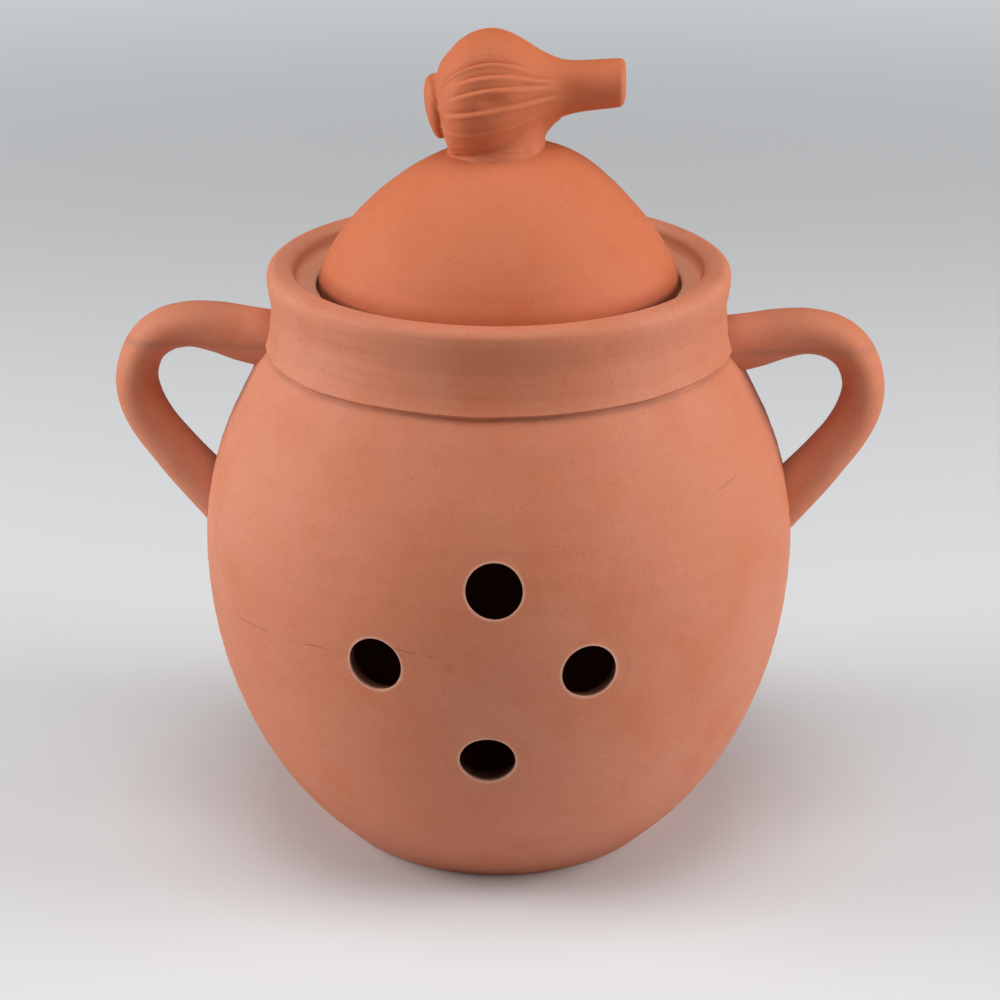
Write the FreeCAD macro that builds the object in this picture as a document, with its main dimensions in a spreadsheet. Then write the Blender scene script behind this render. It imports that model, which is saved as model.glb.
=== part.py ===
import FreeCAD, Part

import math
import os

import Sketcher
from FreeCAD import Placement, Rotation, Vector

# A terracotta garlic keeper: a round pot with two ear handles and four vent holes,
# and a domed lid that drops into a stepped rim and carries a garlic bulb as its knob.
# Millimetres, +Z up, origin on the table under the middle of the pot.
# The vents face -Y and the handles reach along X.

# Driving sizes of the pot, from the foot up. A rise is measured from the height before it,
# and a step outwards from the collar.
potSizes = [
    ("BaseRadius", 35.9),
    ("HeelRadius", 37.3),
    ("HeelHeight", 1.3),
    ("LowerRadius", 57.1),
    ("LowerHeight", 30.0),
    ("BellyRadius", 63.7),
    ("BellyHeight", 65.3),
    ("ShoulderStep", 5.3),
    ("ShoulderRise", 35.7),
    ("CreaseStep", 1.4),
    ("CreaseRise", 8.6),
    ("FootRingStep", 2.0),
    ("FootRingRise", 0.8),
    ("CollarRadius", 48.1),
    ("CollarHeight", 17.9),
    ("LipSwell", 0.9),
    ("LipRound", 2.35),
    ("LipWidth", 5.8),
    ("WallThickness", 4.0),
    ("FloorThickness", 5.0),
    ("LedgeDepth", 4.0),
    ("SeatDepth", 7.2),
    ("MouthRadius", 33.5),
    ("SeatThickness", 4.0),
    ("VentDiameter", 11.2),
    ("VentSpread", 19.5),
    ("VentHighHeight", 79.0),
    ("VentSideHeight", 60.8),
    ("VentLowHeight", 41.0),
]

# Driving sizes of the ear handles. A stand is how far the rod's middle is outside the belly.
handleSizes = [
    ("EarRootHeight", 109.3),
    ("EarTopStand", 2.1),
    ("EarTopHeight", 112.6),
    ("EarBendStand", 14.2),
    ("EarBendHeight", 101.0),
    ("EarLimbStand", 8.6),
    ("EarLimbHeight", 86.8),
    ("EarEndHeight", 71.8),
    ("EarSink", 5.0),
    ("EarWidth", 12.0),
    ("EarRootThickness", 11.8),
    ("EarBendThickness", 9.2),
    ("EarEndThickness", 10.4),
]

# Driving sizes of the lid, measured from the seat that it rests on.
lidSizes = [
    ("LidRadius", 37.9),
    ("LidClearance", 0.7),
    ("SkirtHeight", 4.0),
    ("HaunchRadius", 34.6),
    ("HaunchHeight", 11.3),
    ("CheekRadius", 25.0),
    ("CheekHeight", 21.7),
    ("BrowRadius", 12.0),
    ("BrowHeight", 30.2),
    ("DomeHeight", 33.2),
    ("LidThickness", 4.0),
    ("RingClearance", 0.8),
    ("RingThickness", 3.2),
    ("RingDepth", 5.0),
]

# Driving sizes of the garlic bulb knob. It lies on its side, root to -X and neck to +X.
knobSizes = [
    ("BulbHeight", 43.0),
    ("BulbRadius", 13.3),
    ("BulbLength", 24.0),
    ("BulbTilt", 6.0),
    ("NeckRadius", 5.1),
    ("NeckReach", 26.0),
    ("RootRadius", 6.8),
    ("RootThickness", 2.6),
    ("RootTilt", 12.0),
    ("RibCount", 18),
    ("RibDepth", 0.6),
    ("RibTwist", 24.0),
    ("StalkRadius", 9.6),
    ("StalkFlare", 0.9),
]

# Sizes that follow from the driving ones, each a formula in the sheet.
workedSizes = [
    ("ShoulderRadius", "=CollarRadius + ShoulderStep"),
    ("CreaseRadius", "=CollarRadius + CreaseStep"),
    ("FootRingRadius", "=CollarRadius + FootRingStep"),
    ("ShoulderHeight", "=BellyHeight + ShoulderRise"),
    ("CreaseHeight", "=ShoulderHeight + CreaseRise"),
    ("FootRingHeight", "=CreaseHeight + FootRingRise"),
    ("CollarMiddle", "=CreaseHeight + CollarHeight / 2"),
    ("RimHeight", "=CreaseHeight + CollarHeight"),
    ("LipSwellHeight", "=RimHeight - LipRound"),
    ("LipRadius", "=CollarRadius + LipSwell"),
    ("LipCrestRadius", "=LipRadius - LipRound"),
    ("LipInnerRound", "=LipRound * 0.75"),
    ("LipInnerRadius", "=LipRadius - LipWidth"),
    ("LipInnerCrest", "=LipInnerRadius + LipInnerRound"),
    ("LipInnerHeight", "=RimHeight - LipInnerRound"),
    ("LedgeHeight", "=RimHeight - LedgeDepth"),
    ("LedgeRadius", "=LipInnerRadius - 0.8"),
    ("SeatHeight", "=RimHeight - SeatDepth"),
    ("RecessRadius", "=LidRadius + LidClearance"),
    ("MouthLowHeight", "=SeatHeight - SeatThickness"),
    ("NeckInnerRadius", "=CollarRadius - WallThickness"),
    ("InnerShoulderRadius", "=ShoulderRadius - WallThickness"),
    ("InnerShoulderHeight", "=ShoulderHeight - WallThickness / 2"),
    ("InnerBellyRadius", "=BellyRadius - WallThickness"),
    ("InnerLowerRadius", "=LowerRadius - WallThickness"),
    ("InnerLowerHeight", "=LowerHeight + WallThickness / 3"),
    ("InnerFloorRadius", "=HeelRadius - WallThickness"),
    ("InnerHeelHeight", "=FloorThickness + WallThickness"),
    ("FloorRoundRadius", "=InnerFloorRadius - WallThickness"),
    ("RingRadius", "=MouthRadius - RingClearance"),
    ("RingInnerRadius", "=RingRadius - RingThickness"),
    ("RingFoot", "=-RingDepth"),
    ("HollowHaunchRadius", "=HaunchRadius - LidThickness"),
    ("HollowHaunchHeight", "=HaunchHeight - LidThickness / 2"),
    ("HollowCheekRadius", "=CheekRadius - LidThickness * 0.7"),
    ("HollowCheekHeight", "=CheekHeight - LidThickness * 0.7"),
    ("HollowBrowHeight", "=BrowHeight - LidThickness"),
    ("HollowTop", "=DomeHeight - LidThickness"),
]


def fillSheet(doc):
    sheet = doc.addObject("Spreadsheet::Sheet", "Sizes")
    driving = potSizes + handleSizes + lidSizes + knobSizes
    for row, (alias, content) in enumerate(driving + workedSizes, start=1):
        sheet.set(f"A{row}", alias)
        sheet.set(f"B{row}", str(content))
        sheet.setAlias(f"B{row}", alias)
    doc.recompute()
    return sheet


def size(sheet, alias):
    return float(sheet.get(alias)) if alias else 0.0


# An outline is drawn in the XZ plane of a body as one closed ring of corners, each a pair
# of aliases, radius and height. Every corner is bound to its two sizes, and an arc has no
# size of its own: it leaves its first corner along the curve before it.
class Outline:
    def __init__(self, body, name, sheet):
        self.sheet = sheet
        self.sketch = body.newObject("Sketcher::SketchObject", name)
        plane = [part for part in body.Origin.OriginFeatures if part.Role == "XZ_Plane"]
        self.sketch.AttachmentSupport = (plane[0], [""])
        self.sketch.MapMode = "FlatFace"
        self.placed = {}

    def at(self, corner):
        return Vector(size(self.sheet, corner[0]), size(self.sheet, corner[1]), 0)

    def pin(self, corner, edge, end):
        if corner in self.placed:
            self.sketch.addConstraint(Sketcher.Constraint("Coincident", *self.placed[corner], edge, end))
            return
        self.placed[corner] = (edge, end)
        for kind, alias, axis in (("DistanceX", corner[0], -2), ("DistanceY", corner[1], -1)):
            if not alias:
                self.sketch.addConstraint(Sketcher.Constraint("PointOnObject", edge, end, axis))
                continue
            rule = Sketcher.Constraint(kind, -1, 1, edge, end, size(self.sheet, alias))
            number = self.sketch.addConstraint(rule)
            self.sketch.setExpression(f"Constraints[{number}]", f"Sizes.{alias}")

    def lines(self, corners):
        for first, last in zip(corners, corners[1:]):
            edge = self.sketch.addGeometry(Part.LineSegment(self.at(first), self.at(last)), False)
            self.pin(first, edge, 1)
            self.pin(last, edge, 2)

    # A chain of arcs through the corners. The first leaves along lean, (0, 1) or (0, -1)
    # for upright and (1, 0) or (-1, 0) for level, and each later one goes on smoothly.
    def arcs(self, corners, lean):
        ahead = Vector(lean[0], lean[1], 0)
        before = None
        for first, last in zip(corners, corners[1:]):
            start, end = self.at(first), self.at(last)
            chord = end - start
            side = Vector(-ahead.y, ahead.x, 0)
            bend = chord.dot(chord) / (2 * chord.dot(side))
            centre = start + side * bend
            middle = (start + end) * 0.5 - centre
            if chord.dot(ahead) < 0:
                middle = -middle
            middle = centre + middle.normalize() * abs(bend)
            edge = self.sketch.addGeometry(Part.Arc(start, middle, end), False)
            ends = (1, 2) if bend > 0 else (2, 1)
            if before is None:
                kind = "Horizontal" if lean[0] == 0 else "Vertical"
                self.pin(first, edge, ends[0])
                self.sketch.addConstraint(Sketcher.Constraint(kind, edge, 3, edge, ends[0]))
            else:
                self.sketch.addConstraint(Sketcher.Constraint("Tangent", *before, edge, ends[0]))
            self.pin(last, edge, ends[1])
            before = (edge, ends[1])
            spin = (end - centre).normalize()
            turn = 1 if bend > 0 else -1
            ahead = Vector(-spin.y * turn, spin.x * turn, 0)


def revolve(body, outline):
    ring = body.newObject("PartDesign::Revolution", f"{outline.sketch.Name}Turned")
    ring.Profile = outline.sketch
    ring.ReferenceAxis = (outline.sketch, ["V_Axis"])
    ring.Angle = 360
    return ring


def bind(item, **formulas):
    for name, formula in formulas.items():
        item.setExpression(name, formula)
    return item


# The corners of the pot's outside, from the middle of its foot up to the crest of its lip.
foot = (None, None)
base = ("BaseRadius", None)
heel = ("HeelRadius", "HeelHeight")
lower = ("LowerRadius", "LowerHeight")
belly = ("BellyRadius", "BellyHeight")
shoulder = ("ShoulderRadius", "ShoulderHeight")
crease = ("CreaseRadius", "CreaseHeight")
footRing = ("FootRingRadius", "FootRingHeight")
collar = ("CollarRadius", "CollarMiddle")
lip = ("LipRadius", "LipSwellHeight")
crest = ("LipCrestRadius", "RimHeight")


def drawBellyOutside(outline):
    outline.lines([foot, base])
    outline.lines([base, heel])
    outline.arcs([belly, lower, heel], (0, -1))
    outline.arcs([belly, shoulder, crease], (0, 1))


def drawCollarOutside(outline):
    outline.lines([crease, footRing])
    outline.arcs([collar, footRing], (0, -1))
    outline.arcs([collar, lip], (0, 1))
    outline.arcs([lip, crest], (0, 1))


# The pot is drawn in two pieces that meet face to face in a flat ring level with the crease.
neck = ("NeckInnerRadius", "CreaseHeight")


# The bowl below the crease: foot, belly and shoulder with the hollow inside.
def makeBellyWall(doc, sheet):
    body = doc.addObject("PartDesign::Body", "BellyWall")
    outline = Outline(body, "BellySection", sheet)
    drawBellyOutside(outline)
    innerBelly = ("InnerBellyRadius", "BellyHeight")
    innerShoulder = ("InnerShoulderRadius", "InnerShoulderHeight")
    innerLower = ("InnerLowerRadius", "InnerLowerHeight")
    innerHeel = ("InnerFloorRadius", "InnerHeelHeight")
    floorRound = ("FloorRoundRadius", "FloorThickness")
    outline.lines([crease, neck, innerShoulder])
    outline.arcs([innerBelly, innerShoulder], (0, 1))
    outline.arcs([innerBelly, innerLower, innerHeel], (0, -1))
    outline.arcs([floorRound, innerHeel], (1, 0))
    outline.lines([floorRound, (None, "FloorThickness"), foot])
    revolve(body, outline)
    return body


# The collar above the crease: rolled lip, the ledge and seat for the lid, and the mouth.
def makeCollar(doc, sheet):
    body = doc.addObject("PartDesign::Body", "Collar")
    outline = Outline(body, "CollarSection", sheet)
    drawCollarOutside(outline)
    innerCrest = ("LipInnerCrest", "RimHeight")
    innerLip = ("LipInnerRadius", "LipInnerHeight")
    ledge = ("LedgeRadius", "LedgeHeight")
    step = ("RecessRadius", "LedgeHeight")
    seat = ("RecessRadius", "SeatHeight")
    mouth = ("MouthRadius", "SeatHeight")
    mouthLow = ("MouthRadius", "MouthLowHeight")
    outline.lines([crest, innerCrest])
    outline.arcs([innerCrest, innerLip], (-1, 0))
    outline.lines([innerLip, ledge, step, seat, mouth, mouthLow, neck, crease])
    revolve(body, outline)
    body.Label = "pot_collar"
    return body


# The whole outside as one full solid, which trims the ends of the handles.
def makePotFiller(doc, sheet):
    body = doc.addObject("PartDesign::Body", "PotFiller")
    outline = Outline(body, "FillerSection", sheet)
    drawBellyOutside(outline)
    drawCollarOutside(outline)
    outline.lines([crest, (None, "RimHeight"), foot])
    revolve(body, outline)
    return body


# A vent is bored square to the wall. Its bore runs as far inside the surface as outside it.
# The belly's arc below and above its widest line has its centre level with that line.
def makeVents(doc, sheet):
    cutters = []
    bellyHeight, bellyRadius = size(sheet, "BellyHeight"), size(sheet, "BellyRadius")
    for name, turn, height in (
        ("High", 0, "VentHighHeight"),
        ("Left", -size(sheet, "VentSpread"), "VentSideHeight"),
        ("Right", size(sheet, "VentSpread"), "VentSideHeight"),
        ("Low", 0, "VentLowHeight"),
    ):
        rise = size(sheet, height) - bellyHeight
        far = ("ShoulderRadius", "ShoulderHeight") if rise > 0 else ("LowerRadius", "LowerHeight")
        drop = bellyRadius - size(sheet, far[0])
        bend = (drop**2 + (size(sheet, far[1]) - bellyHeight) ** 2) / (2 * drop)
        slope = math.asin(rise / bend)
        wall = bellyRadius - bend * (1 - math.cos(slope))
        compass = math.radians(turn)
        outwards = Vector(math.sin(compass), -math.cos(compass), math.tan(slope))
        outwards.normalize()
        surface = Vector(wall * math.sin(compass), -wall * math.cos(compass), size(sheet, height))
        bore = doc.addObject("Part::Cylinder", f"Vent{name}Bore")
        bind(bore, Radius="Sizes.VentDiameter / 2", Height="Sizes.WallThickness * 4")
        start = surface - outwards * (2 * size(sheet, "WallThickness"))
        bore.Placement = Placement(start, Rotation(Vector(0, 0, 1), outwards))
        cutters.append(bore)
    allVents = doc.addObject("Part::MultiFuse", "AllVents")
    allVents.Shapes = cutters
    return allVents


def trim(doc, name, base, tool):
    cut = doc.addObject("Part::Cut", name)
    cut.Base = base
    cut.Tool = tool
    return cut


def makePot(doc, sheet):
    pot = trim(doc, "PotBody", makeBellyWall(doc, sheet), makeVents(doc, sheet))
    pot.Label = "pot_body"
    return [pot, makeCollar(doc, sheet)]


# The middle line of a handle, from inside the collar over the bend to inside the belly.
def earPath(sheet):
    sink, collarRadius = size(sheet, "EarSink"), size(sheet, "CollarRadius")
    end = Vector(size(sheet, "BellyRadius") - sink, 0, size(sheet, "EarEndHeight"))
    points = [Vector(collarRadius - sink, 0, size(sheet, "EarRootHeight"))]
    for name in ("Top", "Bend", "Limb"):
        reach = size(sheet, "BellyRadius") + size(sheet, f"Ear{name}Stand")
        points.append(Vector(reach, 0, size(sheet, f"Ear{name}Height")))
    points.append(end)
    path = Part.BSplineCurve()
    path.interpolate(points)
    return path, [path.parameter(point) for point in points]


# A handle is a pulled strip of oval section: thick where it leaves the collar, thinnest
# round the bend and fuller again at the belly. Ovals along the middle line are lofted.
def makeHandles(doc, sheet, filler):
    path, knots = earPath(sheet)
    places = []
    for first, last in zip(knots, knots[1:]):
        places += [first, (first + last) / 2]
    places.append(knots[-1])
    thin = len(places) // 2
    ovals = []
    for number, place in enumerate(places):
        near = abs(number - thin) / thin
        root = "EarRootThickness" if number < thin else "EarEndThickness"
        share = round(near * near, 4)
        oval = doc.addObject("Part::Ellipse", f"EarOval{number + 1}")
        thickness = f"Sizes.EarBendThickness + (Sizes.{root} - Sizes.EarBendThickness) * {share}"
        bind(oval, MajorRadius="Sizes.EarWidth / 2", MinorRadius=f"({thickness}) / 2")
        along = path.tangent(place)[0]
        across = along.cross(Vector(0, 1, 0))
        turned = Rotation(Vector(0, 1, 0), across, along, "ZXY")
        oval.Placement = Placement(path.value(place), turned)
        ovals.append(oval)
    rod = doc.addObject("Part::Loft", "EarRod")
    rod.Sections = ovals
    rod.Solid = True
    right = trim(doc, "HandleRight", rod, filler)
    right.Label = "handle_right"
    left = doc.addObject("Part::Mirroring", "HandleLeft")
    left.Source = right
    left.Normal = Vector(1, 0, 0)
    left.Label = "handle_left"
    return [left, right]


# The corners of the dome's outside, from its top down to the edge of its seat.
domeTop = (None, "DomeHeight")
brow = ("BrowRadius", "BrowHeight")
cheek = ("CheekRadius", "CheekHeight")
haunch = ("HaunchRadius", "HaunchHeight")
skirt = ("LidRadius", "SkirtHeight")
seatEdge = ("LidRadius", None)


def drawDome(outline):
    outline.arcs([domeTop, brow, cheek, haunch, skirt], (1, 0))
    outline.lines([skirt, seatEdge])


# The lid, drawn from its seat: dome, upright skirt, flat seat and the ring in the mouth.
def makeLid(doc, sheet):
    body = doc.addObject("PartDesign::Body", "LidDome")
    outline = Outline(body, "LidSection", sheet)
    drawDome(outline)
    hollowTop = (None, "HollowTop")
    hollowBrow = ("BrowRadius", "HollowBrowHeight")
    hollowCheek = ("HollowCheekRadius", "HollowCheekHeight")
    hollowHaunch = ("HollowHaunchRadius", "HollowHaunchHeight")
    ringInside = ("RingInnerRadius", "RingFoot")
    outline.lines([seatEdge, ("RingRadius", None), ("RingRadius", "RingFoot"), ringInside, hollowHaunch])
    outline.arcs([hollowTop, hollowBrow, hollowCheek, hollowHaunch], (1, 0))
    outline.lines([hollowTop, domeTop])
    revolve(body, outline)
    bind(body, **{".Placement.Base.z": "Sizes.SeatHeight"})
    body.Label = "lid"
    return body


# The dome's outside as one full solid, which trims the foot of the knob.
def makeDomeFiller(doc, sheet):
    body = doc.addObject("PartDesign::Body", "DomeFiller")
    outline = Outline(body, "DomeSection", sheet)
    drawDome(outline)
    outline.lines([seatEdge, foot, domeTop])
    revolve(body, outline)
    bind(body, **{".Placement.Base.z": "Sizes.SeatHeight"})
    return body


# How full the bulb is along its axis, as a share of the step from the neck to the belly:
# a quarter sine from the root plate up to the widest place, and from there half a cosine,
# drawn out to a tail, down to the neck. Place runs from 0 at the root to 1 at the neck.
def bulbFullness(place):
    widest, rootShare = 0.36, 0.28
    if place < widest:
        return rootShare + (1 - rootShare) * math.sin(math.pi / 2 * place / widest)
    onward = min(1.0, (place - widest) / (1 - widest))
    return 0.5 + 0.5 * math.cos(math.pi * onward**0.85)


# One closed section of the bulb: a periodic curve through a crest and a groove per rib.
# The grooves are deepest near the middle, run out at the neck and twist round the bulb.
def bulbSection(sheet, place):
    halfRibs = 2 * round(size(sheet, "RibCount"))
    neck = size(sheet, "NeckRadius")
    radius = neck + (size(sheet, "BulbRadius") - neck) * bulbFullness(place)
    depth = size(sheet, "RibDepth") * max(0.0, math.sin(math.pi * (0.1 + 0.9 * place)))
    twist = size(sheet, "RibTwist") * place
    points = []
    for step in range(halfRibs):
        reach = radius - depth * (step % 2)
        turn = Rotation(Vector(0, 0, 1), 360 * step / halfRibs + twist)
        points.append(turn.multVec(Vector(reach, 0, (place - 0.5) * size(sheet, "BulbLength"))))
    ring = Part.BSplineCurve()
    ring.interpolate(points, PeriodicFlag=True)
    return Part.Wire([ring.toShape()])


# The bulb: a loft through ribbed sections from the root plate to the cut end of its neck.
def makeBulb(doc, sheet):
    neckEnd = size(sheet, "NeckReach") / size(sheet, "BulbLength") + 0.5
    places = [neckEnd * share / 8 for share in range(9)]
    bulb = doc.addObject("Part::Feature", "BulbLoft")
    bulb.Shape = Part.makeLoft([bulbSection(sheet, place) for place in places], True)
    return bulb


# The knob: ribbed bulb and neck, a root plate and the stalk, both cut to the dome's form.
def makeKnob(doc, sheet):
    dome = makeDomeFiller(doc, sheet)
    middle = Vector(0, 0, size(sheet, "SeatHeight") + size(sheet, "BulbHeight"))
    lying = Rotation(Vector(0, 1, 0), 90 - size(sheet, "BulbTilt"))
    rootEnd = middle - lying.multVec(Vector(0, 0, size(sheet, "BulbLength") / 2))
    bulb = makeBulb(doc, sheet)
    bulb.Placement = Placement(middle, lying)
    root = doc.addObject("Part::Ellipsoid", "KnobRoot")
    bind(root, Radius1="Sizes.RootThickness", Radius2="Sizes.RootRadius", Radius3="Sizes.RootRadius")
    root.Placement = Placement(rootEnd, Rotation(Vector(0, 1, 0), 90 - size(sheet, "RootTilt")))
    stalk = doc.addObject("Part::Cone", "KnobStalk")
    bind(stalk, Radius1="Sizes.StalkRadius + Sizes.StalkFlare", Radius2="Sizes.StalkRadius")
    bind(stalk, Height="Sizes.BulbHeight - Sizes.BrowHeight")
    bind(stalk, **{".Placement.Base.z": "Sizes.SeatHeight + Sizes.BrowHeight"})
    knob = doc.addObject("Part::MultiFuse", "GarlicKnob")
    knob.Shapes = [trim(doc, "BulbOnDome", bulb, dome), root, trim(doc, "StalkOnDome", stalk, dome)]
    knob.Label = "garlic_knob"
    return knob


def checkObjects(doc):
    for item in doc.Objects:
        if "Invalid" in item.State or "Error" in item.State:
            raise RuntimeError(f"{item.Name} did not build: {item.State}")


def exportNode(item):
    shape = item.Shape
    if shape.isNull() or not shape.isValid() or not shape.Solids:
        raise RuntimeError(f"{item.Label} has no valid solid")
    shape.exportStep(f"parts/{item.Label}.step")
    box = shape.BoundBox
    print(f"{item.Label}: volume {shape.Volume:.0f} mm3, height {box.ZMin:.1f} to {box.ZMax:.1f}")


doc = FreeCAD.newDocument("GarlicKeeper")
sheet = fillSheet(doc)
pot = makePot(doc, sheet)
handles = makeHandles(doc, sheet, makePotFiller(doc, sheet))
lid = makeLid(doc, sheet)
knob = makeKnob(doc, sheet)
doc.recompute()
checkObjects(doc)
os.makedirs("parts", exist_ok=True)
for node in [*pot, *handles, lid, knob]:
    exportNode(node)
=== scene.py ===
import math

import bpy
import numpy as np
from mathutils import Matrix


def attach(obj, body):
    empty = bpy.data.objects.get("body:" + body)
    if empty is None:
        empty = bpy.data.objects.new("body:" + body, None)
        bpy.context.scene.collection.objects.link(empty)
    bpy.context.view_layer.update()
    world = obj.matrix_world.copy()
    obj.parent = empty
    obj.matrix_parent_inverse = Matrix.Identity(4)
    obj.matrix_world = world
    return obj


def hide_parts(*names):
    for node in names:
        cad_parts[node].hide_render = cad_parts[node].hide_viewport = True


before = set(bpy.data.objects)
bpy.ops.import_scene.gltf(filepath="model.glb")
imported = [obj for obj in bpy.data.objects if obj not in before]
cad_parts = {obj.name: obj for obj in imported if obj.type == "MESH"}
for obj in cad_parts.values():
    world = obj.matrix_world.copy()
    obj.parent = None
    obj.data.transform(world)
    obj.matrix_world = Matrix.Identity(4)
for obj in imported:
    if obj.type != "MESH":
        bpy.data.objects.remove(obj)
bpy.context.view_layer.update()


mm = 0.001


# a grid of points, rows along a profile and columns round it, becomes one closed skin;
# a first or last row with no width is one pole, and the faces are turned to point outwards
def skinFromGrid(name, grid, material, closeEnds=False):
    rows, cols, _ = grid.shape
    points = grid.reshape(-1, 3)
    row, col = np.meshgrid(np.arange(rows - 1), np.arange(cols), indexing="ij")
    nextCol = (col + 1) % cols
    here, below = row * cols, (row + 1) * cols
    quads = np.stack([here + col, below + col, below + nextCol, here + nextCol], -1)
    faces = quads.reshape(-1, 4)
    if closeEnds:
        caps = []
        for index in (0, rows - 1):
            points = np.vstack([points, grid[index].mean(0)])
            ring = np.arange(cols) + index * cols
            pole = np.full(cols, len(points) - 1)
            order = (np.roll(ring, -1), ring) if index == 0 else (ring, np.roll(ring, -1))
            caps.append(np.stack([order[0], pole, order[1], order[1]], -1))
        faces = np.vstack([faces, *caps])
    keep, index = np.unique(np.round(points, 8), axis=0, return_inverse=True)
    faces = index.reshape(-1)[faces]
    corner = keep[faces]
    twice = np.cross(corner[:, 1], corner[:, 2]) + np.cross(corner[:, 2], corner[:, 3])
    if np.einsum("ij,ij->i", corner[:, 0], twice).sum() < 0:
        faces = faces[:, ::-1]
    different = np.ones(faces.shape, bool)
    for side in range(4):
        different[:, side] = faces[:, side] != faces[:, (side + 1) % 4]
    sizes = different.sum(1)
    solid = sizes >= 3
    loops = faces[solid][different[solid]]
    sizes = sizes[solid]
    mesh = bpy.data.meshes.new(name)
    mesh.vertices.add(len(keep))
    mesh.vertices.foreach_set("co", keep.astype(np.float32).ravel())
    mesh.loops.add(len(loops))
    mesh.loops.foreach_set("vertex_index", loops.astype(np.int32))
    mesh.polygons.add(len(sizes))
    mesh.polygons.foreach_set("loop_start", (np.cumsum(sizes) - sizes).astype(np.int32))
    mesh.update(calc_edges=True)
    mesh.validate()
    smoothAll(mesh)
    if material:
        mesh.materials.append(material)
    piece = bpy.data.objects.new(name, mesh)
    bpy.context.scene.collection.objects.link(piece)
    return piece


def smoothAll(mesh, sharpAngle=50):
    mesh.polygons.foreach_set("use_smooth", np.ones(len(mesh.polygons), bool))
    mesh.set_sharp_from_angle(angle=math.radians(sharpAngle))


def verticesOf(mesh):
    flat = np.empty(len(mesh.vertices) * 3, np.float32)
    mesh.vertices.foreach_get("co", flat)
    return flat.reshape(-1, 3).astype(float)


def normalsOf(mesh):
    flat = np.empty(len(mesh.vertices) * 3, np.float32)
    mesh.vertex_normals.foreach_get("vector", flat)
    return flat.reshape(-1, 3).astype(float)


# puts the modifiers' result into the piece's own mesh
def settle(piece, material):
    depsgraph = bpy.context.evaluated_depsgraph_get()
    made = bpy.data.meshes.new_from_object(piece.evaluated_get(depsgraph))
    piece.modifiers.clear()
    old = piece.data
    piece.data = made
    bpy.data.meshes.remove(old)
    made.materials.clear()
    made.materials.append(material)
    smoothAll(made)
    return made


# points of a circle's stretch, angles in degrees
def arc(centreX, centreY, radius, first, last, count):
    angle = np.radians(np.linspace(first, last, count))
    return np.stack([centreX + radius * np.cos(angle), centreY + radius * np.sin(angle)], -1)


# a smooth line through a few points: each span is a cubic whose slope at a point is half
# the step between that point's two neighbours
def through(points, perSpan):
    points = np.asarray(points, float)
    slope = np.gradient(points, axis=0)
    share = np.linspace(0, 1, perSpan, endpoint=False)[None, :, None]
    first, last = points[:-1, None], points[1:, None]
    leave, arrive = slope[:-1, None], slope[1:, None]
    cubed, squared = share**3, share**2
    line = (
        (2 * cubed - 3 * squared + 1) * first
        + (cubed - 2 * squared + share) * leave
        + (3 * squared - 2 * cubed) * last
        + (cubed - squared) * arrive
    )
    return np.vstack([line.reshape(-1, points.shape[1]), points[-1:]])


# nought below low and one above high; between them three squares of the share less two
# of its cubes
def smoothStep(value, low, high):
    share = np.clip((value - low) / (high - low), 0, 1)
    return share * share * (3 - 2 * share)


# a slow wobble round a circle: a few cosines with seeded phases and falling heights
def wobble(angle, seed, waves, falling=1.0):
    phases = np.random.default_rng(seed).uniform(0, 2 * math.pi, len(waves))
    return sum(np.cos(wave * angle + phase) / wave**falling for wave, phase in zip(waves, phases))


# a profile of radii and heights turned round the axis: each row keeps its radius and
# height, and each column has its own angle
def spin(profile, columns):
    angle = np.linspace(0, 2 * math.pi, columns, endpoint=False)
    radius, height = profile[:, 0][:, None], profile[:, 1][:, None]
    return radius, height + 0 * angle, angle[None, :] + 0 * radius


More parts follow.
